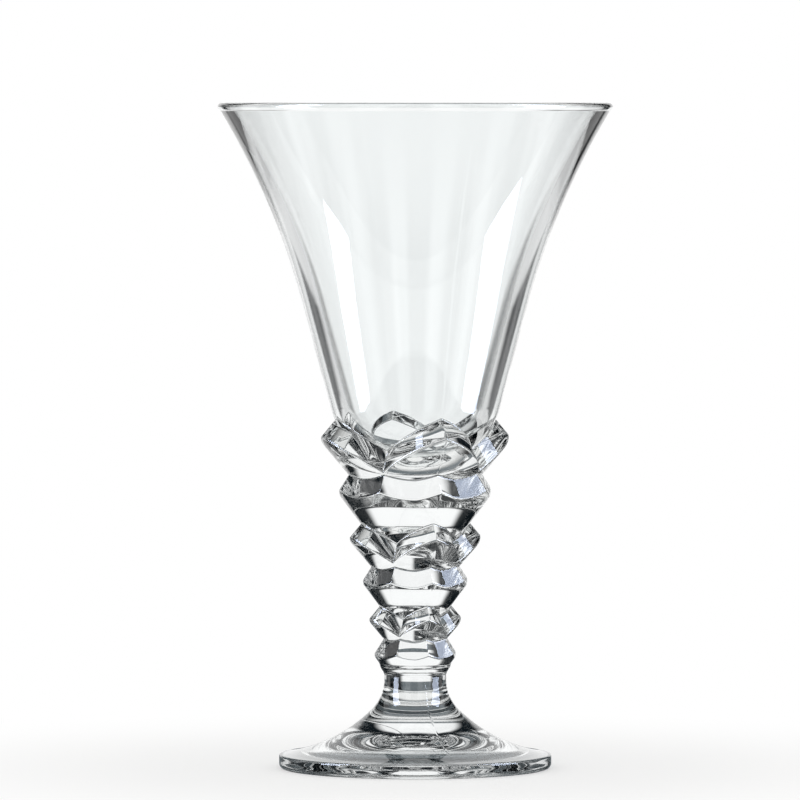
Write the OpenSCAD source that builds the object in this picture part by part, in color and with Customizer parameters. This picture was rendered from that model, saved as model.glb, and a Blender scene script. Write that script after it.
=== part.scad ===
// Sundae glass: a flared bowl on a stem of stacked crowns and collars, with a round foot.
// Millimetres, Z up. The axis of the glass is the Z axis and the foot stands on z = 0.
// The glass has three members, fused face to face: the bowl sits in the stem's top crown,
// and the stem meets the foot at the narrowest place of the neck.

/* [Bowl] */
// Diameter over the rim
rim_d = 113; // [104:0.5:124]
// Thickness of the rim, which is rounded over
rim_t = 2.4; // [1.6:0.1:3.6]
// Height of the bowl from its lowest point to the rim
bowl_h = 106; // [96:0.5:120]
// Thickness of the wall below the flare, square to the wall
bowl_wall = 4.8; // [3:0.1:6.5]
// Diameter of the ball that rounds the outside of the bowl's base
ball_d = 50; // [46:0.5:54]
// Lean of the straight wall from upright, in degrees
wall_lean = 15; // [12:0.5:18]
// Height above the bowl's lowest point at which the wall starts to flare
flare_h = 48.5; // [40:0.5:56]
// Depth of the bowl's lowest point below the tips of the top crown
seat_depth = 10.7; // [8:0.1:13]

/* [Stem] */
// Diameter of the neck, where the stem is fused to the foot
neck_d = 17.8; // [14:0.1:20]
// Height of the lowest collar's edge above the joint at the neck
collar_lift = 7.6; // [7:0.1:9]
// Radius of the cushion between the neck and the lowest collar
cushion_r = 10.5; // [10.1:0.1:10.9]
// Height of the cushion's lower edge above the joint at the neck
cushion_lift = 1.9; // [1.4:0.1:2.4]
// Distance between the edges of the two topmost tiers
tier_pitch = 15.2; // [14:0.1:17]
// Each distance between tiers as a share of the one above it
pitch_ratio = 0.9; // [0.86:0.01:0.95]
// Radius to the leaf tips of the top crown
top_crown_r = 28.5; // [26.5:0.1:31]
// Radius to the leaf tips of the middle crown
middle_crown_r = 19.9; // [18.3:0.1:21.5]
// Radius to the leaf tips of the lowest crown
low_crown_r = 14; // [13:0.1:15.2]
// Radius to the peaks of the top collar
top_collar_r = 23; // [21.7:0.1:24.5]
// Radius to the peaks of the middle collar
middle_collar_r = 15.9; // [14.9:0.1:17]
// Radius to the peaks of the lowest collar
low_collar_r = 12.4; // [11.6:0.1:13.2]
// Lean of the crowns' undersides from upright, in degrees
leaf_lean = 40; // [36:0.5:44]
// Lean of the collars' undersides from upright, in degrees
collar_lean = 36.5; // [33:0.5:40]
// Slope of a leaf along its ridge, in degrees
leaf_ridge = 48.5; // [46:0.5:51]
// Slope of the valley between two leaves, in degrees
leaf_valley = 64; // [62:0.5:66]
// How far a leaf's outline turns out of the straight line from ridge to valley, in degrees
leaf_bulge = 30; // [20:1:32]
// Slope of a collar's peaks along their ridges, in degrees
collar_ridge = 56; // [52:0.5:57]
// Slope of the valleys of a collar, in degrees
collar_valley = 59; // [58:0.5:62]
// Azimuth of a collar's valleys from the peak over a leaf, in degrees
narrow_span = 17.7; // [15:0.1:20]

/* [Foot] */
// Diameter over the edge of the foot
foot_d = 78; // [68:0.5:90]
// Thickness of the foot at its edge
foot_edge = 4.1; // [3:0.1:5.5]
// Radius of the round under the edge
foot_round = 1.5; // [0.8:0.1:2]
// Radius of the round on top of the edge
foot_lip = 0.6; // [0.3:0.1:0.9]
// Height of the joint between foot and stem
neck_z = 25.4; // [23:0.1:30]
// Radius of the sweep from the neck out to the foot
neck_sweep = 12; // [9:0.1:14]
// Depth of the hollow under the foot
foot_hollow = 7; // [4:0.1:8]
// Width of the flat ring that the foot stands on
foot_ring = 6; // [3:0.5:12]

/* [Hidden] */
$fn = 96;
// Straight steps in each curved stretch of an outline
arc_steps = 12;
// Flat faces on each side of a leaf
leaf_steps = 6;
glass = [0.84, 0.92, 0.93];

// Tiers are counted from the top: crowns are even, collars are odd
tier_radii = [
    top_crown_r, top_collar_r,
    middle_crown_r, middle_collar_r,
    low_crown_r, low_collar_r
];
tiers = len(tier_radii);
function is_crown(i) = i % 2 == 0;
function tier_r(i) = tier_radii[i];
function tier_lean(i) = is_crown(i) ? leaf_lean : collar_lean;
function tier_ridge(i) = is_crown(i) ? leaf_ridge : collar_ridge;
function tier_gap(i) = tier_pitch * pow(pitch_ratio, i);
function tier_z(i) =
    i == tiers - 1 ? neck_z + collar_lift : tier_z(i + 1) + tier_gap(i);
// How far each tier's underside runs on inside the tier below
tier_lap = 3;
// Least radius of that hidden end
core_r = 1;
// How far a tier's top runs on inside the underside above it
top_lap = 1;
// Height below the lowest collar's edge at which the cushion ends inside the collar
cushion_lap = 2;
// Lean of the cushion's outline from upright at its lower edge, in degrees
cushion_lean = 35;

ball_r = ball_d / 2;
neck_r = neck_d / 2;
foot_r = foot_d / 2;
bowl_z = tier_z(0) - seat_depth;
ball_z = bowl_z + ball_r;
flare_z = bowl_z + flare_h;
rim_r = rim_t / 2;
rim_c = [rim_d / 2 - rim_r, bowl_z + bowl_h - rim_r];

// Radius of the bowl's straight wall at height z, the given depth inside the outer face
function wall_r(z, depth) =
    (ball_r - depth + (z - ball_z) * sin(wall_lean)) / cos(wall_lean);
outer_start = [wall_r(flare_z, 0), flare_z];
inner_start = [wall_r(flare_z, bowl_wall), flare_z];
// Lean of the wall where the flare reaches the rim
rim_lean = 2 * atan2(rim_d / 2 - outer_start.x, rim_c.y - outer_start.y) - wall_lean;
rim_out = rim_r * [cos(rim_lean), -sin(rim_lean)];

// Points of an arc about c, from angle a0 to a1
function arc(c, r, a0, a1) = [
    for (i = [0 : arc_steps])
        let (a = a0 + (a1 - a0) * i / arc_steps)
        c + r * [cos(a), sin(a)]
];

// Points of the arc that leaves p at the given lean from upright and ends at q
function bend(p, q, lean, steps = arc_steps) =
    let (chord = q - p)
    let (turn = atan2(chord.x, chord.y) - lean)
    let (r = norm(chord) / (2 * sin(turn)))
    [
        for (i = [0 : steps])
            let (a = lean + 2 * turn * i / steps)
            p + r * [cos(lean) - cos(a), sin(a) - sin(lean)]
    ];

function reversed(points) = [for (i = [len(points) - 1 : -1 : 0]) points[i]];

// Outside of the bowl's base and straight wall, which the stem's top crown also fits
function base_outline() =
    arc([0, ball_z], ball_r, -90, -wall_lean);

module bowl() {
    inside = concat(
        arc([0, ball_z], ball_r - bowl_wall, -90, -wall_lean),
        bend(inner_start, rim_c - rim_out, wall_lean)
    );
    color(glass)
        rotate_extrude()
            polygon(concat(
                base_outline(),
                bend(outer_start, rim_c + rim_out, wall_lean),
                arc(rim_c, rim_r, -rim_lean, 180 - rim_lean),
                reversed(inside)
            ));
}

// Point of a tier's top that lies one unit below the apex, where the top has the given slope
function top_point(azimuth, slope) = [cos(azimuth), sin(azimuth)] / tan(slope);

// One side of a leaf, from its ridge to the valley, one unit below the apex
function leaf_side() =
    let (ridge = top_point(0, leaf_ridge))
    let (valley = top_point(45, leaf_valley))
    let (chord = valley - ridge)
    bend(ridge, valley, atan2(chord.x, chord.y) + leaf_bulge, leaf_steps);

// A quarter of a crown's outline: one side of a leaf and the facing side of the next
function crown_quarter() =
    let (side = leaf_side())
    concat(side, [for (i = [leaf_steps - 1 : -1 : 1]) [side[i].y, side[i].x]]);

// A quarter of a collar's outline: a narrow peak over a leaf, and a broad one beside it
function collar_quarter() = [
    top_point(0, collar_ridge),
    top_point(narrow_span, collar_valley),
    top_point(45, collar_ridge),
    top_point(90 - narrow_span, collar_valley)
];

// Everything under the top of a tier, whose faces all rise to one apex on the axis
module under_top(i, low, high) {
    apex = tier_z(i) + tier_r(i) * tan(tier_ridge(i));
    quarter = is_crown(i) ? crown_quarter() : collar_quarter();
    outline = [
        for (turn = [0 : 90 : 270])
            for (p = quarter)
                [p.x * cos(turn) - p.y * sin(turn), p.x * sin(turn) + p.y * cos(turn)]
    ];
    translate([0, 0, low])
        linear_extrude(height = high - low, scale = (apex - high) / (apex - low))
            polygon((apex - low) * outline);
}

// Height above its tips at which a tier's ridges meet the underside of the tier above
function ridge_rise(i) =
    let (widen = tan(tier_lean(i - 1)))
    let (narrow = 1 / tan(tier_ridge(i)))
    (tier_r(i) - tier_r(i - 1) + widen * tier_gap(i - 1)) / (widen + narrow);

// Lowest height of a tier's underside: in the tier below, or in the neck under the last one
function tier_low(i) =
    let (end = i == tiers - 1 ? neck_z + cushion_lift : tier_z(i + 1) - tier_lap)
    max(end, tier_z(i) - (tier_r(i) - core_r) / tan(tier_lean(i)));

// One tier: a cone that opens upwards through its tips, under a top with ridges and valleys
module tier(i) {
    z = tier_z(i);
    low = tier_low(i);
    high = i == 0 ? ball_z : z + ridge_rise(i) + top_lap;
    widen = tan(tier_lean(i));
    intersection() {
        translate([0, 0, low])
            cylinder(
                h = high - low,
                r1 = tier_r(i) - (z - low) * widen,
                r2 = tier_r(i) + (high - z) * widen
            );
        under_top(i, low - top_lap, high + top_lap);
    }
}

// Upper half of the neck, with the cushion that carries the lowest collar
module neck() {
    low = [neck_r, neck_z + cushion_lift];
    high = [cushion_r, neck_z + collar_lift - cushion_lap];
    rotate_extrude()
        polygon(concat(
            [[0, neck_z], [neck_r, neck_z]],
            bend(low, high, cushion_lean),
            [[0, high.y]]
        ));
}

module stem() {
    seat = concat(base_outline(), [outer_start, [0, flare_z]]);
    color(glass)
        difference() {
            union() {
                neck();
                for (i = [0 : tiers - 1])
                    tier(i);
            }
            rotate_extrude()
                polygon(seat);
        }
}

module foot() {
    ring_r = foot_r - foot_round - foot_ring;
    hollow_r = (ring_r * ring_r + foot_hollow * foot_hollow) / (2 * foot_hollow);
    hollow = arc([0, foot_hollow - hollow_r], hollow_r, 90, 90 - asin(ring_r / hollow_r));
    sweep = arc([neck_r + neck_sweep, neck_z], neck_sweep, 180, 225);
    sweep_end = sweep[arc_steps];
    slope_end = [foot_r - foot_lip, foot_edge];
    top = concat(sweep, bend(sweep_end, slope_end, 135));
    color(glass)
        rotate_extrude()
            polygon(concat(
                hollow,
                arc([foot_r - foot_round, foot_round], foot_round, -90, 0),
                arc([foot_r - foot_lip, foot_edge - foot_lip], foot_lip, 0, 90),
                reversed(top),
                [[0, neck_z]]
            ));
}

bowl();
stem();
foot();
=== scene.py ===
"""Looks of the sundae glass: a flared bowl, a stem of stacked crowns and collars, and a round foot.

The three members are one clear pressed glass, fused face to face. Each is a closed surface on a
grid of profile rows and azimuth columns, and it replaces the CAD node of the same name. Lengths
are in metres and angles in radians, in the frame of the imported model: Z up along the axis of the
glass, the foot on z = 0, and the leaves of the crowns along X and Y.
"""

import logging
import math
from dataclasses import dataclass, field
from enum import Enum, IntEnum
from typing import Any

import bpy
import numpy as np
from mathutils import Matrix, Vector
from numpy.typing import NDArray


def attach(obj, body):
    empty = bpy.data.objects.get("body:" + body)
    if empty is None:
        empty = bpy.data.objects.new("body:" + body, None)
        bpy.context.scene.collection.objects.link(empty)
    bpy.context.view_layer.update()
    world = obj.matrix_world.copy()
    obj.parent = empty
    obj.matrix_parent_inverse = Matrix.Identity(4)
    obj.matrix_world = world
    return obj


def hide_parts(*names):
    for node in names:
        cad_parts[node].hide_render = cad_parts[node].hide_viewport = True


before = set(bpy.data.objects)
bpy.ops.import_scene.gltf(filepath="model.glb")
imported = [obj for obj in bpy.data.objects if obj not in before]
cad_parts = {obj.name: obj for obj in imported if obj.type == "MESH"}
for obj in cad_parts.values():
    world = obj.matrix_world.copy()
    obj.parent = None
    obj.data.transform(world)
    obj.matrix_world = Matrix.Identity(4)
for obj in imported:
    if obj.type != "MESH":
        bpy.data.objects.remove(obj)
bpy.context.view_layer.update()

log = logging.getLogger("sundae_glass")

Array = NDArray[np.float64]
MM = 0.001
DEG = math.pi / 180
QUARTER = math.pi / 2
BODY = "root"
# Longest part of a short leg that a rounded corner takes, and where the row beside the curve lies,
# as a share of what the corner takes
SHORT_LEG_SHARE = 0.4
GUARD_REACH = 1.2


class Slot(IntEnum):
    """Material slots of every piece."""

    GLASS = 0
    WELD = 1


def linear(hex_colour: str) -> tuple[float, float, float, float]:
    """Turns an sRGB hex colour into the linear colour that a socket takes.

    Args:
        hex_colour: Six hex digits after a hash sign.

    Returns:
        Red, green, blue and an alpha of 1.
    """
    srgb = np.array([int(hex_colour[i : i + 2], 16) for i in (1, 3, 5)]) / 255
    rgb = np.where(srgb <= 0.04045, srgb / 12.92, ((srgb + 0.055) / 1.055) ** 2.4)
    return (*(float(c) for c in rgb), 1.0)


def add_node(
    tree: bpy.types.NodeTree, kind: str, settings: dict[str, Any] | None = None, **links: Any
) -> bpy.types.Node:
    """Adds one node with its settings and links.

    Args:
        tree: The node tree that gets the node.
        kind: The node's class name.
        settings: Values by the name of a property, or by the name or number of an input.
        links: Sockets to link, by the name of the input; in0, in1 and so on go by number.

    Returns:
        The new node.
    """
    node = tree.nodes.new(kind)
    for key, value in (settings or {}).items():
        if isinstance(key, str) and hasattr(node, key):
            setattr(node, key, value)
        else:
            node.inputs[key].default_value = value
    for key, socket in links.items():
        target = int(key[2:]) if key[:2] == "in" and key[2:].isdigit() else key
        tree.links.new(socket, node.inputs[target])
    return node


def smooth_step(values: Array, low: float, high: float) -> Array:
    """Eases from 0 at low to 1 at high by 3 u^2 - 2 u^3, where u is the share of the way.

    Args:
        values: Where to evaluate it.
        low: The value that gives 0.
        high: The value that gives 1; it may be less than low.

    Returns:
        The eased values, of the same shape.
    """
    u = np.clip((values - low) / (high - low), 0, 1)
    return u * u * (3 - 2 * u)


def arc(centre: tuple[float, float], radius: float, start: float, end: float, count: int) -> Array:
    """Points of an arc in the profile plane: centre + radius * (cos a, sin a) at even angles a.

    Args:
        centre: Radius and height of the arc's centre.
        radius: Radius of the arc.
        start: First angle, from the outward direction towards up.
        end: Last angle.
        count: Number of points.

    Returns:
        The points, one row each, as radius and height.
    """
    a = np.linspace(start, end, count)
    return np.stack([centre[0] + radius * np.cos(a), centre[1] + radius * np.sin(a)], axis=-1)


def bend(p: Array, q: Array, lean: float, count: int) -> Array:
    """Points of the arc that leaves p at the given lean from upright and ends at q.

    The chord from p to q turns from the lean by half of the arc's angle, so with that turn the
    radius is half the chord over sin(turn), and the direction at share u is lean + 2 u turn.

    Args:
        p: First point, as radius and height.
        q: Last point.
        lean: Direction at p, from upright towards outward.
        count: Number of points.

    Returns:
        The points, one row each.
    """
    chord = q - p
    turn = math.atan2(chord[0], chord[1]) - lean
    radius = float(np.hypot(*chord)) / (2 * math.sin(turn))
    a = lean + 2 * turn * np.linspace(0, 1, count)
    way = np.stack([math.cos(lean) - np.cos(a), np.sin(a) - math.sin(lean)], axis=-1)
    return p + radius * way


def straight(p: Array, q: Array, count: int) -> Array:
    """Points from p to q at even steps, ends included.

    Args:
        p: First point, or one first point for each column.
        q: Last point, or one last point for each column.
        count: Number of points.

    Returns:
        The points, one row each.
    """
    return np.linspace(p, q, count)


def rounded(before: Array, corner: Array, after: Array, trim: float, count: int) -> Array:
    """Rows of a rounded corner, one corner for each column.

    A leg is shortened by trim, or by a share of its length where it is short. Between the two ends
    runs the curve (1-u)^2 start + 2 u (1-u) corner + u^2 end. One more row lies on each leg close
    to the curve, so that the shading of the flat faces stays flat.

    Args:
        before: Where the first leg comes from.
        corner: The sharp corners.
        after: Where the second leg goes to.
        trim: Length taken off each leg.
        count: Number of rows on the curve.

    Returns:
        The rows, as an array of rows by columns by radius and height.
    """
    ends = []
    guards = []
    for far in (before, after):
        leg = far - corner
        length = np.hypot(leg[:, 0], leg[:, 1])[:, None]
        cut = np.minimum(trim, SHORT_LEG_SHARE * length)
        ends.append(corner + leg / length * cut)
        guards.append(corner + leg / length * cut * GUARD_REACH)
    u = np.linspace(0, 1, count)[:, None, None]
    curve = (1 - u) ** 2 * ends[0] + 2 * u * (1 - u) * corner + u**2 * ends[1]
    return np.concatenate([guards[0][None], curve, guards[1][None]])


@dataclass(frozen=True)
class Columns:
    """Azimuth columns that every piece shares, gathered where ridges, valleys and seams run."""

    valley: float
    near_count: int = 40
    far_count: int = 50
    gather: float = 0.75

    def angles(self) -> Array:
        """Works out the columns, once round without repeating the first.

        Each quarter has knots at 0, the valley, 45 degrees, and the same mirrored. Between two
        knots the column at share u of the count lies at u - gather * sin(2 pi u) / (2 pi) of the
        angle, so the columns crowd at both knots.

        Returns:
            The azimuths, rising from 0.
        """
        knots = (0.0, self.valley, QUARTER / 2, QUARTER - self.valley, QUARTER)
        counts = (self.near_count, self.far_count, self.far_count, self.near_count)
        stretches = []
        for start, end, count in zip(knots[:-1], knots[1:], counts):
            u = np.arange(count) / count
            share = u - self.gather * np.sin(2 * np.pi * u) / (2 * np.pi)
            stretches.append(start + (end - start) * share)
        quarter = np.concatenate(stretches)
        return (QUARTER * np.arange(4)[:, None] + quarter).ravel()


@dataclass(frozen=True)
class MouldSeam:
    """The fine ridge on two opposite meridians, where the two halves of the mould met."""

    height: float = 0.07 * MM
    half_width: float = 0.18 * MM
    meridian: float = -QUARTER

    def raise_on(self, azimuth: Array, rows: Array, fade: Array) -> Array:
        """Adds the ridge to the rows of a piece.

        The ridge stands height * fade * exp(-(d / half_width)^2) square to the profile, where d is
        the distance round from the nearer of the two meridians.

        Args:
            azimuth: The columns.
            rows: The surface, as rows by columns by radius and height.
            fade: Share of the full height, by rows and columns or in a shape that spreads to that.

        Returns:
            The rows with the ridge on them.
        """
        off = np.mod(azimuth - self.meridian + QUARTER, math.pi) - QUARTER
        rise = self.height * fade * np.exp(-((rows[..., 0] * off / self.half_width) ** 2))
        along = np.gradient(rows, axis=0)
        along /= np.hypot(along[..., 0], along[..., 1])[..., None]
        outward = np.stack([along[..., 1], -along[..., 0]], axis=-1)
        return rows + rise[..., None] * outward


@dataclass(frozen=True)
class Surface:
    """A closed surface round the axis, as rows by columns by radius and height.

    The profile runs from the axis at the bottom, outwards and up, back to the axis, so that the
    outside is on its right. slots names the material slot of each band between two rows.
    """

    azimuth: Array
    rows: Array
    slots: NDArray[np.int32]

    def mesh(self, name: str) -> bpy.types.Mesh:
        """Makes the mesh: a point is (radius cos a, radius sin a, height) at azimuth a.

        The first and the last row become one point each, with triangles round them, and quads
        join the other rows. Edges are sharp where one material slot meets another.

        Args:
            name: Name of the mesh.

        Returns:
            The mesh, shaded smooth.
        """
        radius = self.rows[1:-1, :, 0]
        points = np.stack(
            [radius * np.cos(self.azimuth), radius * np.sin(self.azimuth), self.rows[1:-1, :, 1]],
            axis=-1,
        )
        poles = [[0, 0, self.rows[end, 0, 1]] for end in (0, -1)]
        places = np.concatenate([poles[:1], points.reshape(-1, 3), poles[1:]])
        count = len(self.azimuth)
        here = 1 + np.arange(radius.size).reshape(radius.shape)
        beside = np.roll(here, -1, axis=1)
        low_fan = np.stack([np.zeros(count, int), beside[0], here[0]], axis=-1)
        quads = np.stack([here[:-1], beside[:-1], beside[1:], here[1:]], axis=-1)
        top_fan = np.stack([here[-1], beside[-1], np.full(count, len(places) - 1)], axis=-1)
        corners = np.concatenate([low_fan.ravel(), quads.ravel(), top_fan.ravel()])
        sizes = np.repeat([3, 4, 3], [count, quads.size // 4, count])

        mesh = bpy.data.meshes.new(name)
        mesh.vertices.add(len(places))
        mesh.vertices.foreach_set("co", places.ravel())
        mesh.loops.add(len(corners))
        mesh.loops.foreach_set("vertex_index", corners.astype(np.int32))
        mesh.polygons.add(len(sizes))
        starts = np.concatenate([[0], np.cumsum(sizes)[:-1]])
        mesh.polygons.foreach_set("loop_start", starts.astype(np.int32))
        mesh.polygons.foreach_set("material_index", np.repeat(self.slots, count).astype(np.int32))
        mesh.polygons.foreach_set("use_smooth", np.ones(len(sizes), bool))
        mesh.update(calc_edges=True)
        mesh.validate()
        self._sharpen(mesh)
        return mesh

    def _sharpen(self, mesh: bpy.types.Mesh) -> None:
        """Marks the edges along each row at which the material slot changes."""
        border = np.zeros(len(self.rows), bool)
        border[1:-1] = self.slots[1:] != self.slots[:-1]
        row_of = np.concatenate([[0], 1 + np.arange(len(mesh.vertices) - 2) // len(self.azimuth)])
        row_of = np.append(row_of, len(self.rows) - 1)
        ends = np.zeros(2 * len(mesh.edges), np.int32)
        mesh.edges.foreach_get("vertices", ends)
        rows = row_of[ends.reshape(-1, 2)]
        sharp = (rows[:, 0] == rows[:, 1]) & border[rows[:, 0]]
        mesh.edges.foreach_set("use_edge_sharp", sharp)


@dataclass(frozen=True)
class GlassFinish:
    """Clear soda-lime glass, pressed in a polished mould and fire-polished afterwards.

    To the eye it is bright and colourless, with a trace of blue-green where it is thick, sharp
    reflections, and a slow ripple that the flame leaves, which bends what is seen through it.
    The foot's standing ring is scuffed by table tops.
    """

    name: str
    tint: str = "#FCFEFE"
    ior: float = 1.52
    # Distance between the waves of the ripple, and their height
    ripple: float = 15 * MM
    ripple_height: float = 0.004 * MM
    # Roughness of a fire-polished face, which changes slowly over the surface: none up to the
    # lower value of the noise, the roughest from the upper one on
    roughest: float = 0.012
    bloom: float = 30 * MM
    bloom_low: float = 0.35
    bloom_high: float = 0.75
    # Scuffs below this height are as rough as scuffed; their grain is drawn coarser than real
    # grit of about 0.05 mm so that it shows
    scuff_top: float = 0.12 * MM
    scuffed: float = 0.3
    scuff_grain: float = 0.4 * MM

    def material(self) -> bpy.types.Material:
        """Makes the material, with all patterns on Object coordinates.

        Returns:
            The new material.
        """
        material = bpy.data.materials.new(self.name)
        material.use_nodes = True
        tree = material.node_tree
        tree.nodes.clear()
        place = add_node(tree, "ShaderNodeTexCoord").outputs["Object"]
        wave = add_node(
            tree,
            "ShaderNodeTexNoise",
            {"Scale": 1 / self.ripple, "Detail": 1.0, "Roughness": 0.4},
            Vector=place,
        )
        ripple = add_node(
            tree,
            "ShaderNodeBump",
            {"Strength": 1.0, "Distance": self.ripple_height},
            Height=wave.outputs["Fac"],
        )
        bloom = add_node(
            tree, "ShaderNodeTexNoise", {"Scale": 1 / self.bloom, "Detail": 2.0}, Vector=place
        )
        polish = add_node(
            tree,
            "ShaderNodeMapRange",
            {
                "From Min": self.bloom_low,
                "From Max": self.bloom_high,
                "To Max": self.roughest,
            },
            Value=bloom.outputs["Fac"],
        )
        height = add_node(tree, "ShaderNodeSeparateXYZ", in0=place).outputs["Z"]
        low = add_node(
            tree,
            "ShaderNodeMapRange",
            {"From Max": self.scuff_top, "To Min": self.scuffed, "To Max": 0.0},
            Value=height,
        )
        grain = add_node(
            tree, "ShaderNodeTexNoise", {"Scale": 1 / self.scuff_grain, "Detail": 2.0}, Vector=place
        )
        scuff = add_node(
            tree,
            "ShaderNodeMath",
            {"operation": "MULTIPLY"},
            in0=low.outputs[0],
            in1=grain.outputs["Fac"],
        )
        rough = add_node(
            tree,
            "ShaderNodeMath",
            {"operation": "MAXIMUM"},
            in0=polish.outputs[0],
            in1=scuff.outputs[0],
        )
        glass = add_node(
            tree,
            "ShaderNodeBsdfPrincipled",
            {"Base Color": linear(self.tint), "IOR": self.ior, "Transmission Weight": 1.0},
            Roughness=rough.outputs[0],
            Normal=ripple.outputs[0],
        )
        add_node(tree, "ShaderNodeOutputMaterial", Surface=glass.outputs[0])
        return material


@dataclass(frozen=True)
class WeldFinish:
    """Fused glass inside a joint: the two members are one glass there, so nothing is seen."""

    name: str = "fused_glass_joint"

    def material(self) -> bpy.types.Material:
        """Makes the material, which lets light through unbent.

        Returns:
            The new material.
        """
        material = bpy.data.materials.new(self.name)
        material.use_nodes = True
        tree = material.node_tree
        tree.nodes.clear()
        clear = add_node(tree, "ShaderNodeBsdfTransparent", {"Color": linear("#FFFFFF")})
        add_node(tree, "ShaderNodeOutputMaterial", Surface=clear.outputs[0])
        return material


@dataclass(frozen=True)
class CutShape:
    """How the top of a tier is cut into peaks and valleys, the same in each eighth of a turn.

    All slopes rise to one apex on the axis, so the outline one unit below the apex gives the cut.
    """

    # Lean of the underside, and slopes along the peaks and along the valleys
    lean: float
    ridge: float
    valley: float
    # Azimuth of the valley from the nearest leaf's meridian
    valley_at: float
    # Angle by which the outline turns out of the straight line from peak to valley
    bulge: float = 0.0
    steps: int = 120

    def _point(self, azimuth: float, slope: float) -> Array:
        """Point of the outline at an azimuth where the top has the given slope."""
        return np.array([math.cos(azimuth), math.sin(azimuth)]) / math.tan(slope)

    def outline(self) -> Array:
        """Works out the outline from a leaf's meridian to 45 degrees beside it.

        It is a straight line or an arc from the peak to the valley, and goes on in a straight line
        to the next peak where the valley comes before 45 degrees.

        Returns:
            Points, one row each, on the two horizontal axes.
        """
        peak = self._point(0.0, self.ridge)
        valley = self._point(self.valley_at, self.valley)
        chord = valley - peak
        if self.bulge:
            side = bend(peak, valley, math.atan2(*chord) + self.bulge, self.steps)
        else:
            side = straight(peak, valley, self.steps)
        if self.valley_at == QUARTER / 2:
            return side
        beside = straight(valley, self._point(QUARTER / 2, self.ridge), self.steps)
        return np.concatenate([side, beside[1:]])


class Cut(Enum):
    """The two kinds of tier: four arched leaves, or eight flat-sided peaks."""

    CROWN = CutShape(
        lean=40 * DEG, ridge=48.5 * DEG, valley=64 * DEG, valley_at=QUARTER / 2, bulge=30 * DEG
    )
    COLLAR = CutShape(lean=36.5 * DEG, ridge=56 * DEG, valley=59 * DEG, valley_at=17.7 * DEG)


@dataclass(frozen=True)
class Tier:
    """One tier of the stem: a cone that opens upwards through its tips, cut into peaks.

    At azimuth a the top is height = apex - fall(a) * radius.
    """

    tip_r: float
    tip_z: float
    cut: Cut
    # Half the angle over which ridges and valleys are rounded, and the samples taken in it
    soften: float = 1.7 * DEG
    samples: int = 15

    @property
    def rate(self) -> float:
        """Height of the underside's cone for each unit of radius."""
        return 1 / math.tan(self.cut.value.lean)

    @property
    def apex(self) -> float:
        """Height at which all faces of the top meet on the axis."""
        return self.tip_z + math.tan(self.cut.value.ridge) * self.tip_r

    def fall(self, azimuth: Array) -> Array:
        """Fall of the top for each unit of radius.

        It is one over the outline's radius at the azimuth, averaged with the weight
        1 + cos(pi t / soften) over the angles t on both sides, which rounds ridges and valleys.

        Args:
            azimuth: The columns.

        Returns:
            The fall in each column.
        """
        outline = self.cut.value.outline()
        t = np.linspace(-self.soften, self.soften, self.samples)[:, None]
        off = np.abs(np.mod(azimuth + t + QUARTER / 2, QUARTER) - QUARTER / 2)
        around = np.arctan2(outline[:, 1], outline[:, 0])
        falls = np.interp(off, around, 1 / np.hypot(outline[:, 0], outline[:, 1]))
        weight = 1 + np.cos(np.pi * t / self.soften)
        return (weight * falls).sum(axis=0) / weight.sum()

    def edge(self, azimuth: Array) -> Array:
        """The sharp edge where the top meets the underside, a point for each column."""
        steep = self.rate + math.tan(self.cut.value.ridge)
        radius = self.tip_r * steep / (self.rate + self.fall(azimuth))
        return np.stack([radius, self.tip_z + (radius - self.tip_r) * self.rate], axis=-1)

    def under(self, upper: "Tier", azimuth: Array) -> Array:
        """The corner where the top meets the underside of the tier above.

        Args:
            upper: The tier above.
            azimuth: The columns.

        Returns:
            A point for each column.
        """
        reach = self.apex - upper.tip_z + upper.tip_r * upper.rate
        radius = reach / (upper.rate + self.fall(azimuth))
        return np.stack([radius, self.apex - self.fall(azimuth) * radius], axis=-1)

    def seat_angle(self, ball_r: float, ball_z: float, azimuth: Array) -> Array:
        """Angle from straight down, at the ball's centre, of the corner with the ball above.

        With height = apex - fall * radius on the ball, the radius solves a quadratic, of which
        the larger root is the outer corner.

        Args:
            ball_r: Radius of the ball.
            ball_z: Height of its centre.
            azimuth: The columns.

        Returns:
            The angle in each column.
        """
        fall = self.fall(azimuth)
        rise = self.apex - ball_z
        root = np.sqrt((fall * rise) ** 2 - (1 + fall**2) * (rise**2 - ball_r**2))
        radius = (fall * rise + root) / (1 + fall**2)
        return np.arctan2(radius, ball_z - (self.apex - fall * radius))


class Piece:
    """What the three members share: a surface, a glass finish and a place in the frame."""

    node: str
    finish: GlassFinish

    def surface(self) -> Surface:
        """Works out the member's closed surface."""
        raise NotImplementedError

    def build(self, weld: bpy.types.Material) -> bpy.types.Object:
        """Makes the member's object, dresses it and sets it in the frame.

        Args:
            weld: The material inside the joints, which all members share.

        Returns:
            The new object.
        """
        mesh = self.surface().mesh(self.node + "_glass")
        mesh.materials.append(self.finish.material())
        mesh.materials.append(weld)
        piece = bpy.data.objects.new(self.node + "_glass", mesh)
        bpy.context.scene.collection.objects.link(piece)
        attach(piece, BODY)
        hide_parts(self.node)
        triangles = len(mesh.loops) - 2 * len(mesh.polygons)
        log.info("%s replaces node %s: %d triangles", piece.name, self.node, triangles)
        return piece


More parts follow.
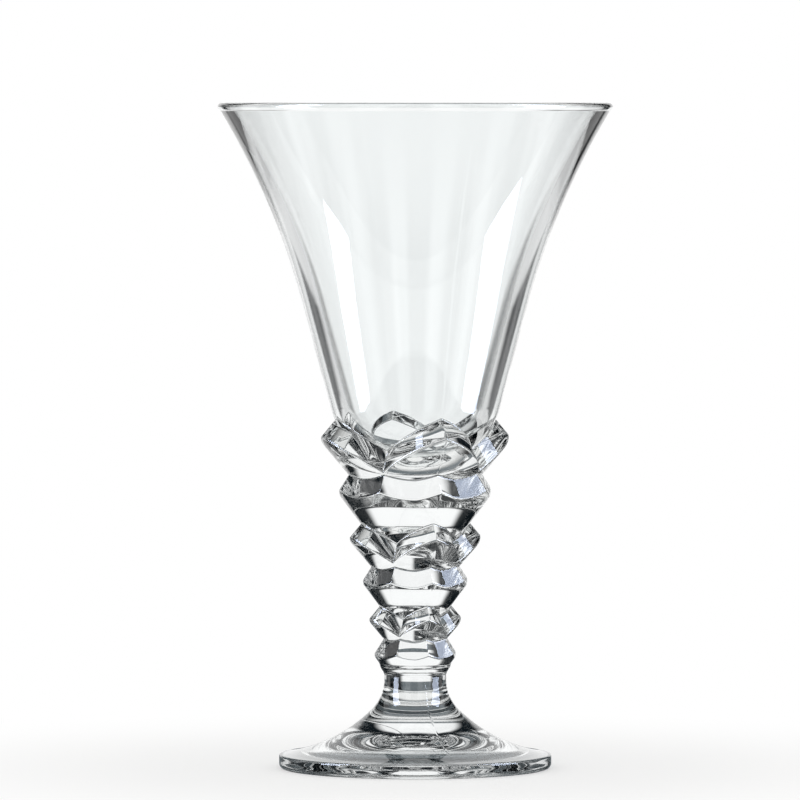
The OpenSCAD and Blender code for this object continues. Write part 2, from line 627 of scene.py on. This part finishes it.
@dataclass
class Stem(Piece):
    """The solid stem: six tiers from the neck up to the seat of the bowl."""

    azimuth: Array
    ball_r: float
    ball_z: float
    seam: MouldSeam
    node: str = "stem"
    finish: GlassFinish = GlassFinish("pressed_glass_stem")
    neck_r: float = 8.9 * MM
    neck_z: float = 25.4 * MM
    tiers: tuple[Tier, ...] = (
        Tier(12.4 * MM, 33.0 * MM, Cut.COLLAR),
        Tier(14.0 * MM, 42.9727 * MM, Cut.CROWN),
        Tier(15.9 * MM, 54.0535 * MM, Cut.COLLAR),
        Tier(19.9 * MM, 66.3655 * MM, Cut.CROWN),
        Tier(23.0 * MM, 80.0455 * MM, Cut.COLLAR),
        Tier(28.5 * MM, 95.2455 * MM, Cut.CROWN),
    )
    # The cushion between the neck and the lowest collar: radius, lower and upper height, and the
    # lean of its outline at the lower edge
    cushion_r: float = 10.5 * MM
    cushion_low: float = 27.3 * MM
    cushion_high: float = 31.0 * MM
    cushion_lean: float = 35 * DEG
    # Rounding of the tiers' edges, of the corners between tiers, and of the cushion
    edge_trim: float = 0.6 * MM
    corner_trim: float = 0.45 * MM
    cushion_trim: float = 1.2 * MM
    edge_rows: int = 7
    corner_rows: int = 5
    # Rows of the weld, of the neck (of which the first few are used) and of the bowl's seat
    weld_rows: int = 4
    neck_rows: int = 8
    neck_used: int = 4
    seat_rows: int = 10
    # Share of the mould seam's height that is left on the polished tiers
    seam_share: float = 0.3

    def seat_angles(self) -> Array:
        """Angle from straight down at which the seat ends on the ball, in each column."""
        corner = self.tiers[-1].seat_angle(self.ball_r, self.ball_z, self.azimuth)
        return corner + self.corner_trim / self.ball_r

    def _on_ball(self, angle: Array) -> Array:
        """Points of the ball at the given angles from straight down."""
        out = self.ball_r * np.sin(angle)
        return np.stack([out, self.ball_z - self.ball_r * np.cos(angle)], axis=-1)

    def _cushion(self) -> tuple[Array, Array, Array]:
        """Corners of the cushion: at the neck, at its bulge, and where it meets the collar.

        The outline is an arc from the neck to the cushion's full radius. The bulge is where the
        arc's end tangents meet, and the last corner is where the upper one meets the collar's
        cone, on which height = tip_z + (radius - tip_r) * rate.

        Returns:
            The three points.
        """
        low = np.array([self.neck_r, self.cushion_low])
        chord = np.array([self.cushion_r, self.cushion_high]) - low
        turn = math.atan2(*chord) - self.cushion_lean
        side = float(np.hypot(*chord)) / (2 * math.cos(turn))
        bulge = low + side * np.array([math.sin(self.cushion_lean), math.cos(self.cushion_lean)])
        end_lean = self.cushion_lean + 2 * turn
        collar = self.tiers[0]
        gap = bulge[1] - collar.tip_z - (bulge[0] - collar.tip_r) * collar.rate
        rise = gap / (math.tan(end_lean) * collar.rate - 1)
        return low, bulge, bulge + rise * np.array([math.tan(end_lean), 1.0])

    def _corners(self) -> list[Array]:
        """Sharp corners of the profile from the neck up, a point for each column in each."""
        spread = np.ones((len(self.azimuth), 1))
        neck = np.array([self.neck_r, self.neck_z])
        corners = [spread * point for point in (neck, *self._cushion())]
        for tier, upper in zip(self.tiers[:-1], self.tiers[1:]):
            corners += [tier.edge(self.azimuth), tier.under(upper, self.azimuth)]
        top = self.tiers[-1]
        seat = top.seat_angle(self.ball_r, self.ball_z, self.azimuth)
        corners += [top.edge(self.azimuth), self._on_ball(seat), self._on_ball(self.seat_angles())]
        return corners

    def surface(self) -> Surface:
        """Works out the stem: weld, neck, the rounded corners of the tiers, and the seat.

        Returns:
            The closed surface.
        """
        corners = self._corners()
        hub = corners[0] * np.array([0, 1])
        neck = straight(corners[0], corners[1], self.neck_rows)[1 : self.neck_used]
        rows = [straight(hub, corners[0], self.weld_rows), neck]
        for i in range(1, len(corners) - 1):
            edge = i % 2 == 0
            trim = self.edge_trim if edge else self.corner_trim
            trim = self.cushion_trim if i < 3 else trim
            count = self.edge_rows if edge else self.corner_rows
            rows.append(rounded(*corners[i - 1 : i + 2], trim, count))
        rows[-1] = rows[-1][:-2]
        share = np.linspace(1, 0, self.seat_rows)[:, None]
        rows.append(self._on_ball(share * self.seat_angles()))
        profile = np.concatenate(rows)
        seat_start = len(profile) - len(rows[-1])
        slots = np.full(len(profile) - 1, Slot.GLASS, np.int32)
        slots[: len(rows[0]) - 1] = Slot.WELD
        slots[seat_start:] = Slot.WELD
        fade = np.zeros((len(profile), 1))
        fade[len(rows[0]) : seat_start] = self.seam_share
        return Surface(self.azimuth, self.seam.raise_on(self.azimuth, profile, fade), slots)


@dataclass
class Bowl(Piece):
    """The flared bowl: a ball-shaped base in the stem's seat, a straight wall and a flare."""

    azimuth: Array
    seat_angles: Array
    seam: MouldSeam
    node: str = "bowl"
    finish: GlassFinish = GlassFinish("pressed_glass_bowl")
    rim_d: float = 113 * MM
    rim_t: float = 2.4 * MM
    bowl_h: float = 106 * MM
    wall: float = 4.8 * MM
    ball_d: float = 50 * MM
    wall_lean: float = 15 * DEG
    flare_h: float = 48.5 * MM
    bottom_z: float = 84.5455 * MM
    # How far the rim's bead, which the flame leaves, stands out of the wall on both sides
    bead: float = 0.3 * MM
    # Rows close to the bead, as shares of the last step to it, which keep the shading crisp
    bead_guards: tuple[float, ...] = (0.86, 0.97)
    # Share of the mould seam's height on the bowl, and the depth below the rim over which it
    # fades away, which the flame softens
    seam_share: float = 0.6
    seam_end: float = 4 * MM
    seam_fade: float = 12 * MM
    # Rows of the ball's two stretches, the straight wall, the flare, the rim and the inner ball
    seat_rows: int = 10
    wall_rows: int = 8
    flare_rows: int = 22
    bead_rows: int = 21
    inner_rows: int = 22
    # Power by which the rows of the free ball crowd at the seat
    crowd: float = 1.5

    def _wall_point(self, height: float, depth: float) -> Array:
        """Point of the straight wall at a height, the given depth inside its outer face."""
        ball_z = self.bottom_z + self.ball_d / 2
        reach = self.ball_d / 2 - depth + (height - ball_z) * math.sin(self.wall_lean)
        return np.array([reach / math.cos(self.wall_lean), height])

    def _outline(self) -> tuple[Array, Array]:
        """Profile of the outside above the ball with the rim, and of the inside down to the axis.

        Returns:
            The two stretches of the profile.
        """
        ball = (0.0, self.bottom_z + self.ball_d / 2)
        flare_z = self.bottom_z + self.flare_h
        rim_r = self.rim_t / 2
        rim = np.array([self.rim_d / 2 - rim_r, self.bottom_z + self.bowl_h - rim_r])
        starts = [self._wall_point(flare_z, depth) for depth in (0.0, self.wall)]
        out = self.rim_d / 2 - starts[0][0]
        lean = 2 * math.atan2(out, rim[1] - flare_z) - self.wall_lean
        hook = math.acos(1 - self.bead / rim_r)
        bead = arc(tuple(rim), rim_r, -lean - hook, math.pi - lean + hook, self.bead_rows)
        tangent = -self.wall_lean
        foot_of_wall = arc(ball, self.ball_d / 2, tangent, tangent, 1)[0]
        flares = []
        for start, end in zip(starts, (bead[0], bead[-1])):
            flare = bend(start, end, self.wall_lean, self.flare_rows)
            guards = [flare[-2] + share * (end - flare[-2]) for share in self.bead_guards]
            flares.append(np.concatenate([flare[:-1], guards, flare[-1:]]))
        outside = np.concatenate(
            [straight(foot_of_wall, starts[0], self.wall_rows)[1:], flares[0][1:], bead[1:]]
        )
        inner_r = self.ball_d / 2 - self.wall
        inner_ball = arc(ball, inner_r, tangent, -QUARTER, self.inner_rows)
        inner_wall = straight(starts[1], inner_ball[0], self.wall_rows)
        inside = np.concatenate([flares[1][::-1][1:], inner_wall[1:], inner_ball[1:]])
        return outside, inside

    def surface(self) -> Surface:
        """Works out the bowl: weld on the ball, free ball, wall, flare, rim and inside.

        Returns:
            The closed surface.
        """
        ball_r = self.ball_d / 2
        shares = np.linspace(0, 1, self.seat_rows)[:, None]
        welded = shares * self.seat_angles
        free = QUARTER - self.wall_lean - self.seat_angles
        angles = np.concatenate([welded, self.seat_angles + shares[1:] ** self.crowd * free])
        base = np.stack(
            [ball_r * np.sin(angles), self.bottom_z + ball_r - ball_r * np.cos(angles)], axis=-1
        )
        spread = np.ones((1, len(self.azimuth), 1))
        outside, inside = (part[:, None, :] * spread for part in self._outline())
        profile = np.concatenate([base, outside, inside])
        slots = np.full(len(profile) - 1, Slot.GLASS, np.int32)
        slots[: len(welded) - 1] = Slot.WELD
        top = self.bottom_z + self.bowl_h
        fade = smooth_step(profile[..., 1], top - self.seam_end, top - self.seam_fade)
        fade *= self.seam_share
        fade[: len(welded)] = 0
        fade[-len(inside) :] = 0
        return Surface(self.azimuth, self.seam.raise_on(self.azimuth, profile, fade), slots)


@dataclass
class Foot(Piece):
    """The round foot: a hollow, a flat standing ring, an edge and a sweep to the neck."""

    azimuth: Array
    seam: MouldSeam
    node: str = "foot"
    finish: GlassFinish = GlassFinish("pressed_glass_foot")
    foot_d: float = 78 * MM
    edge: float = 4.1 * MM
    under_round: float = 1.5 * MM
    lip: float = 0.6 * MM
    neck_r: float = 8.9 * MM
    neck_z: float = 25.4 * MM
    # Radius of the sweep from the neck, and the angle that it turns through
    sweep: float = 12 * MM
    sweep_turn: float = 45 * DEG
    hollow: float = 7 * MM
    ring: float = 6 * MM
    # Radii between which the mould seam fades away
    seam_fade: float = 28 * MM
    seam_end: float = 36 * MM
    # Rows of each stretch of the profile
    hollow_rows: int = 28
    ring_rows: int = 5
    under_rows: int = 9
    side_rows: int = 5
    lip_rows: int = 7
    slope_rows: int = 26
    sweep_rows: int = 16
    weld_rows: int = 4

    def surface(self) -> Surface:
        """Works out the foot: hollow, ring, edge, slope, sweep and weld.

        Returns:
            The closed surface.
        """
        rim = self.foot_d / 2
        ring_r = rim - self.under_round - self.ring
        hollow_r = (ring_r**2 + self.hollow**2) / (2 * self.hollow)
        tilt = math.asin(ring_r / hollow_r)
        hollow_z = self.hollow - hollow_r
        hollow = arc((0.0, hollow_z), hollow_r, QUARTER, QUARTER - tilt, self.hollow_rows)
        under_at = (rim - self.under_round, self.under_round)
        under = arc(under_at, self.under_round, -QUARTER, 0, self.under_rows)
        lip_at = (rim - self.lip, self.edge - self.lip)
        lip = arc(lip_at, self.lip, 0, QUARTER, self.lip_rows)
        sweep_at = (self.neck_r + self.sweep, self.neck_z)
        sweep = arc(sweep_at, self.sweep, math.pi, math.pi + self.sweep_turn, self.sweep_rows)
        slope = bend(sweep[-1], lip[-1], math.pi - self.sweep_turn, self.slope_rows)
        top = np.concatenate([sweep, slope[1:]])[::-1]
        weld = straight(sweep[0], np.array([0.0, self.neck_z]), self.weld_rows)
        outline = np.concatenate(
            [
                hollow,
                straight(hollow[-1], under[0], self.ring_rows)[1:],
                under[1:],
                straight(under[-1], lip[0], self.side_rows)[1:],
                lip[1:],
                top[1:],
                weld[1:],
            ]
        )
        profile = outline[:, None, :] * np.ones((1, len(self.azimuth), 1))
        slots = np.full(len(profile) - 1, Slot.GLASS, np.int32)
        slots[-(len(weld) - 1) :] = Slot.WELD
        fade = smooth_step(profile[..., 0], self.seam_end, self.seam_fade)
        fade[: -len(top) - len(weld) + 1] = 0
        fade[-len(weld) + 1 :] = 0
        return Surface(self.azimuth, self.seam.raise_on(self.azimuth, profile, fade), slots)


@dataclass(frozen=True)
class Softbox:
    """A rectangular studio lamp that faces the glass, placed by its angles from the camera's."""

    name: str
    turn: float
    width: float
    radiance: float
    length: float = 2.34
    height: float = 8 * DEG
    distance: float = 1.3
    # Paths up to this depth show the lamp: its reflection in an outer face has depth 2
    deepest: float = 2.5

    def light(self, view: float, target: Vector, colour: str) -> bpy.types.Object:
        """Makes the lamp, which shows in the outer faces of the glass.

        Plain surfaces are lit by the room alone, and so is all that is seen deeper in the glass.

        Args:
            view: Azimuth of the camera.
            target: The point that the lamp faces.
            colour: Colour of the light.

        Returns:
            The lamp's object.
        """
        data = bpy.data.lights.new(self.name, "AREA")
        data.shape = "RECTANGLE"
        data.size = self.width
        data.size_y = self.length
        data.color = linear(colour)[:3]
        data.energy = self.radiance * math.pi * self.width * self.length
        data.use_nodes = True
        tree = data.node_tree
        tree.nodes.clear()
        first = add_node(
            tree,
            "ShaderNodeMath",
            {"operation": "LESS_THAN", 1: self.deepest},
            in0=add_node(tree, "ShaderNodeLightPath").outputs["Ray Depth"],
        )
        glow = add_node(tree, "ShaderNodeEmission", Strength=first.outputs[0])
        add_node(tree, "ShaderNodeOutputLight", Surface=glow.outputs[0])
        lamp = bpy.data.objects.new(self.name, data)
        a = view + self.turn
        flat = self.distance * math.cos(self.height)
        lamp.location = target + Vector(
            (flat * math.sin(a), -flat * math.cos(a), self.distance * math.sin(self.height))
        )
        lamp.rotation_euler = (target - lamp.location).to_track_quat("-Z", "Y").to_euler()
        lamp.visible_camera = False
        lamp.visible_diffuse = False
        bpy.context.scene.collection.objects.link(lamp)
        return lamp


@dataclass(frozen=True)
class Studio:
    """The pale floor, the room with its white backdrop and panels, the lamps and the camera."""

    # Camera: azimuth, distance from the axis, height, pitch down and turn to the left
    view: float = -18.6 * DEG
    distance: float = 2.211
    height: float = 0.1895
    pitch: float = 2.175 * DEG
    turn: float = 0.113 * DEG
    lens: float = 347.9
    # The round top that the glass stands on: radius, distances between which it fades into the
    # white room, its share near the glass and its colour
    floor_r: float = 0.22
    floor_near: float = 0.06
    floor_far: float = 0.21
    floor_share: float = 0.6
    floor_colour: str = "#F4F4F3"
    # What the glass shows of the top: its pale colour from steeply above, and at flatter angles,
    # from the one facing value to the other, its polish, which mirrors the room in a darker tone
    gloss_start: float = 0.15
    gloss_full: float = 0.4
    polish_colour: str = "#6E7579"
    polish_rough: float = 0.03
    floor_sides: int = 128
    # Light that the room gives to plain surfaces
    room_level: float = 1.0
    # The white backdrop behind the glass: its turn from straight behind, half width and soft edge
    backdrop_turn: float = 1.9 * DEG
    backdrop_half: float = 20.5 * DEG
    soft_edge: float = 3.5 * DEG
    # White panels every eighth of a turn round the rest of the room, clear of the backdrop
    panel_step: float = 45 * DEG
    panel_half: float = 9.5 * DEG
    panel_clear: float = 45 * DEG
    # Height angles between which backdrop and panels fade into the dark ceiling
    panel_top: float = 38 * DEG
    ceiling_start: float = 52 * DEG
    # Angles below the level between which the room's walls give way to its pale ground, and the
    # ground's share of white
    ground_start: float = 11 * DEG
    ground_full: float = 14 * DEG
    ground_share: float = 0.7
    # The unlit room between the panels, which draws the edges of clear glass
    dark: str = "#12181C"
    white: str = "#FFFFFF"
    lamp_colour: str = "#DCE8FF"
    softboxes: tuple[Softbox, ...] = (
        Softbox("left_strip", turn=-76 * DEG, width=0.5, radiance=12.0),
        Softbox("right_window", turn=82 * DEG, width=0.68, radiance=10.0),
    )
    target: Vector = field(default_factory=lambda: Vector((0, 0, 0.1)))

    def build(self) -> None:
        """Makes the floor, the room, the lamps and the camera."""
        self._floor()
        self._room()
        for softbox in self.softboxes:
            softbox.light(self.view, self.target, self.lamp_colour)
        self._camera()

    def _floor(self) -> None:
        """Makes the floor: a round top, pale and shadowed near the glass, plain white at its edge."""
        a = np.linspace(0, 2 * np.pi, self.floor_sides, endpoint=False)
        ring = self.floor_r * np.stack([np.cos(a), np.sin(a), np.zeros_like(a)], axis=-1)
        mesh = bpy.data.meshes.new("floor")
        mesh.from_pydata(ring, [], [range(self.floor_sides)])
        floor = bpy.data.objects.new("floor", mesh)
        bpy.context.scene.collection.objects.link(floor)
        material = bpy.data.materials.new("polished_white_top")
        mesh.materials.append(material)
        material.use_nodes = True
        tree = material.node_tree
        tree.nodes.clear()
        place = add_node(tree, "ShaderNodeTexCoord").outputs["Object"]
        away = add_node(tree, "ShaderNodeVectorMath", {"operation": "LENGTH"}, in0=place)
        share = add_node(
            tree,
            "ShaderNodeMapRange",
            {
                "interpolation_type": "SMOOTHSTEP",
                "From Min": self.floor_near,
                "From Max": self.floor_far,
                "To Min": self.floor_share,
                "To Max": 0.0,
            },
            Value=away.outputs["Value"],
        )
        path = add_node(tree, "ShaderNodeLightPath").outputs
        white = add_node(tree, "ShaderNodeEmission", Strength=path["Is Camera Ray"])
        matt = add_node(tree, "ShaderNodeBsdfDiffuse", {"Color": linear(self.floor_colour)})
        pale = add_node(
            tree,
            "ShaderNodeMixShader",
            in0=share.outputs[0],
            in1=white.outputs[0],
            in2=matt.outputs[0],
        )
        facing = add_node(tree, "ShaderNodeLayerWeight").outputs["Facing"]
        gloss = add_node(
            tree,
            "ShaderNodeMapRange",
            {
                "interpolation_type": "SMOOTHSTEP",
                "From Min": self.gloss_start,
                "From Max": self.gloss_full,
            },
            Value=facing,
        )
        lit = add_node(tree, "ShaderNodeEmission", {"Color": linear(self.floor_colour)})
        mirror = add_node(
            tree,
            "ShaderNodeBsdfGlossy",
            {"Color": linear(self.polish_colour), "Roughness": self.polish_rough},
        )
        tone = add_node(
            tree,
            "ShaderNodeMixShader",
            in0=gloss.outputs[0],
            in1=lit.outputs[0],
            in2=mirror.outputs[0],
        )
        top = add_node(
            tree,
            "ShaderNodeMixShader",
            in0=self._through_glass(tree),
            in1=pale.outputs[0],
            in2=tone.outputs[0],
        )
        add_node(tree, "ShaderNodeOutputMaterial", Surface=top.outputs[0])

    @staticmethod
    def _through_glass(tree: bpy.types.NodeTree) -> bpy.types.NodeSocket:
        """Adds a test that is 1 for what is seen in or through glass, and else 0."""
        path = add_node(tree, "ShaderNodeLightPath").outputs
        glass = add_node(
            tree,
            "ShaderNodeMath",
            {"operation": "MAXIMUM"},
            in0=path["Is Glossy Ray"],
            in1=path["Is Transmission Ray"],
        )
        return glass.outputs[0]

    def _panels(
        self, tree: bpy.types.NodeTree, way: bpy.types.NodeSocket
    ) -> bpy.types.NodeSocket:
        """Adds the plan of the room: 1 in the directions of backdrop and panels, 0 between them.

        Args:
            tree: The node tree.
            way: A direction.

        Returns:
            The share of white in that direction.
        """
        axes = add_node(tree, "ShaderNodeSeparateXYZ", in0=way).outputs
        left = add_node(tree, "ShaderNodeMath", {"operation": "MULTIPLY", 1: -1.0}, in0=axes["X"])
        azimuth = add_node(
            tree, "ShaderNodeMath", {"operation": "ARCTAN2"}, in0=left.outputs[0], in1=axes["Y"]
        )
        centre = self.view + self.backdrop_turn
        beside = add_node(
            tree, "ShaderNodeMath", {"operation": "SUBTRACT", 1: centre}, in0=azimuth.outputs[0]
        )
        off = add_node(tree, "ShaderNodeMath", {"operation": "ABSOLUTE"}, in0=beside.outputs[0])
        from_panel = add_node(
            tree,
            "ShaderNodeMath",
            {"operation": "PINGPONG", 1: self.panel_step / 2},
            in0=azimuth.outputs[0],
        )
        whites = []
        for angle, half in ((off, self.backdrop_half), (from_panel, self.panel_half)):
            white = add_node(
                tree,
                "ShaderNodeMapRange",
                {
                    "interpolation_type": "SMOOTHSTEP",
                    "From Min": half - self.soft_edge,
                    "From Max": half + self.soft_edge,
                    "To Min": 1.0,
                    "To Max": 0.0,
                },
                Value=angle.outputs[0],
            )
            whites.append(white.outputs[0])
        behind, panel = whites
        clear = add_node(
            tree,
            "ShaderNodeMath",
            {"operation": "GREATER_THAN", 1: self.panel_clear},
            in0=off.outputs[0],
        )
        around = add_node(
            tree, "ShaderNodeMath", {"operation": "MULTIPLY"}, in0=panel, in1=clear.outputs[0]
        )
        both = add_node(
            tree, "ShaderNodeMath", {"operation": "MAXIMUM"}, in0=behind, in1=around.outputs[0]
        )
        return both.outputs[0]

    def _room(self) -> None:
        """Makes the room: white to the camera; backdrop, panels, gaps and ground to the glass."""
        world = bpy.data.worlds.new("studio")
        bpy.context.scene.world = world
        world.use_nodes = True
        tree = world.node_tree
        tree.nodes.clear()
        way = add_node(tree, "ShaderNodeTexCoord").outputs["Generated"]
        rise = add_node(tree, "ShaderNodeSeparateXYZ", in0=way).outputs["Z"]
        wall = add_node(
            tree,
            "ShaderNodeMapRange",
            {
                "interpolation_type": "SMOOTHSTEP",
                "From Min": math.sin(self.panel_top),
                "From Max": math.sin(self.ceiling_start),
                "To Min": 1.0,
                "To Max": 0.0,
            },
            Value=rise,
        )
        panels = add_node(
            tree,
            "ShaderNodeMath",
            {"operation": "MULTIPLY"},
            in0=wall.outputs[0],
            in1=self._panels(tree, way),
        )
        below = add_node(
            tree,
            "ShaderNodeMapRange",
            {
                "interpolation_type": "SMOOTHSTEP",
                "From Min": -math.sin(self.ground_full),
                "From Max": -math.sin(self.ground_start),
                "To Min": self.ground_share,
                "To Max": 0.0,
            },
            Value=rise,
        )
        lit = add_node(
            tree,
            "ShaderNodeMath",
            {"operation": "MAXIMUM"},
            in0=panels.outputs[0],
            in1=below.outputs[0],
        )
        tones = add_node(
            tree,
            "ShaderNodeMix",
            {"data_type": "RGBA", 6: linear(self.dark), 7: linear(self.white)},
            in0=lit.outputs[0],
        )
        plain = add_node(
            tree,
            "ShaderNodeMix",
            {"data_type": "RGBA", 6: (*(self.room_level,) * 3, 1.0)},
            in0=self._through_glass(tree),
            in7=tones.outputs[2],
        )
        final = add_node(
            tree,
            "ShaderNodeMix",
            {"data_type": "RGBA", 7: linear(self.white)},
            in0=add_node(tree, "ShaderNodeLightPath").outputs["Is Camera Ray"],
            in6=plain.outputs[2],
        )
        sky = add_node(tree, "ShaderNodeBackground", Color=final.outputs[2])
        add_node(tree, "ShaderNodeOutputWorld", Surface=sky.outputs[0])

    def _camera(self) -> None:
        """Makes the camera at the photograph's angle, for a square picture."""
        data = bpy.data.cameras.new("camera")
        data.lens = self.lens
        data.sensor_width = 36.0
        data.clip_end = 100.0
        camera = bpy.data.objects.new("camera", data)
        camera.location = (
            self.distance * math.sin(self.view),
            -self.distance * math.cos(self.view),
            self.height,
        )
        camera.rotation_euler = (QUARTER - self.pitch, 0.0, self.view + self.turn)
        bpy.context.scene.collection.objects.link(camera)
        bpy.context.scene.camera = camera


def set_view_and_paths() -> None:
    """Sets the plain view transform, and enough bounces for light inside solid glass."""
    scene = bpy.context.scene
    scene.view_settings.view_transform = "Standard"
    scene.cycles.max_bounces = 40
    scene.cycles.transmission_bounces = 32
    scene.cycles.glossy_bounces = 24
    scene.cycles.transparent_max_bounces = 40


def main() -> None:
    """Builds the three members of the glass and the studio."""
    logging.basicConfig(level=logging.INFO, format="%(name)s: %(message)s")
    set_view_and_paths()
    azimuth = Columns(Cut.COLLAR.value.valley_at).angles()
    seam = MouldSeam()
    weld = WeldFinish().material()
    ball_r = Bowl.ball_d / 2
    stem = Stem(azimuth, ball_r, Bowl.bottom_z + ball_r, seam)
    bowl = Bowl(azimuth, stem.seat_angles(), seam)
    foot = Foot(azimuth, seam)
    for piece in (bowl, stem, foot):
        piece.build(weld)
    Studio().build()


if __name__ == "__main__":
    main()
